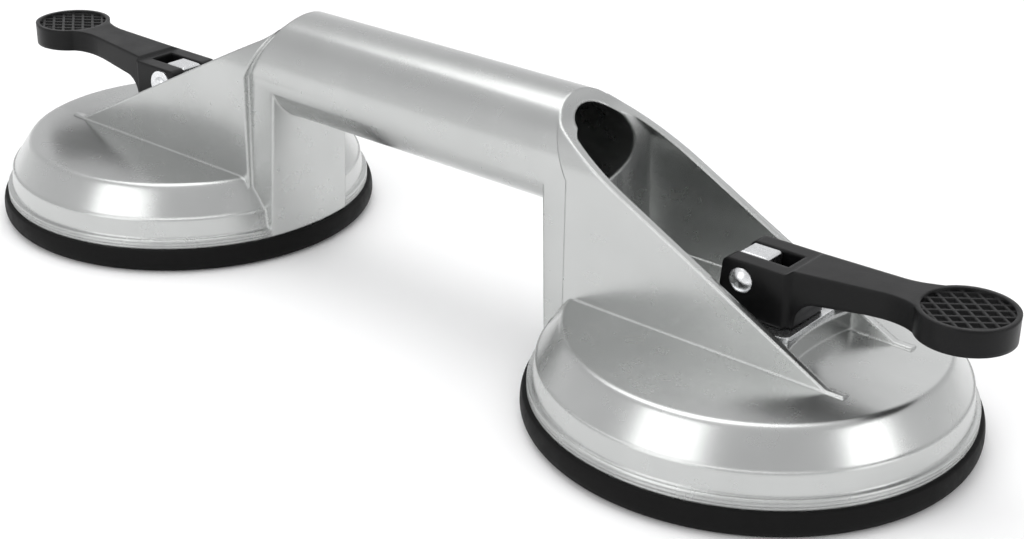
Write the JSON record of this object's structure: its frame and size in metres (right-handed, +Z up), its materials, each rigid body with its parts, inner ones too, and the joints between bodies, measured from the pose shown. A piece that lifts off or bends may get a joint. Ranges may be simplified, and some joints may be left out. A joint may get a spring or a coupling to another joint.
{
  "type": "floor tile suction lifter",
  "caption": "Suction lifter for floor tiles: domed cups on rubber discs at both ends of a cast tube handle, each drawn tight by a cam lever that folds out over its cup.",
  "frame": {"origin": "on the floor, midway between the two cups, at the middle of the bounding box's bottom", "axes": "+X along the handle tube to the right cup, +Z up, away from the tile"},
  "size_m": [0.3576, 0.12, 0.0773],
  "materials": {
    "cast_aluminium": "polished die casting with soft broad reflections",
    "black_rubber": "matte moulded rubber",
    "lever_plastic": "satin moulded plastic with fine grain",
    "zinc_steel": "bright zinc-plated steel",
    "spring_steel": "drawn spring wire",
    "sintered_bronze": "plain sintered bronze"
  },
  "bodies": {
    "frame": {"frame_casting": "cast_aluminium", "right_suction_pad": "black_rubber", "right_return_spring": "spring_steel", "right_spring_washer": "zinc_steel", "right_stud_bush": "sintered_bronze", "right_cam_plate": "zinc_steel", "left_suction_pad": "black_rubber", "left_return_spring": "spring_steel", "left_spring_washer": "zinc_steel", "left_stud_bush": "sintered_bronze", "left_cam_plate": "zinc_steel"},
    "right_stud": {"right_draw_stud": "zinc_steel", "right_pad_insert": "zinc_steel", "right_stud_nut": "zinc_steel"},
    "right_lever": {"right_cam_lever": "lever_plastic", "right_pivot_pin": "zinc_steel", "right_pin_collar": "zinc_steel"},
    "left_stud": {"left_draw_stud": "zinc_steel", "left_pad_insert": "zinc_steel", "left_stud_nut": "zinc_steel"},
    "left_lever": {"left_cam_lever": "lever_plastic", "left_pivot_pin": "zinc_steel", "left_pin_collar": "zinc_steel"}
  },
  "joints": [
    {"name": "right_stud_slide", "type": "slide", "parent": "frame", "child": "right_stud", "axis": [0, 0, 1], "range_m": [-0.0035, 0], "deforming": ["right_return_spring", "right_suction_pad"]},
    {"name": "right_lever_swing", "type": "hinge", "parent": "right_stud", "child": "right_lever", "pos_m": [0.11, 0, 0.0418], "axis": [0, -1, 0], "range_deg": [0, 95]},
    {"name": "left_stud_slide", "type": "slide", "parent": "frame", "child": "left_stud", "axis": [0, 0, 1], "range_m": [-0.0035, 0], "deforming": ["left_return_spring", "left_suction_pad"]},
    {"name": "left_lever_swing", "type": "hinge", "parent": "left_stud", "child": "left_lever", "pos_m": [-0.11, 0, 0.0418], "axis": [0, 1, 0], "range_deg": [0, 95]}
  ],
  "couplings": [
    {"joint": "right_lever_swing", "follows": "right_stud_slide", "rad_per_m": -473.7},
    {"joint": "left_lever_swing", "follows": "left_stud_slide", "rad_per_m": -473.7}
  ]
}
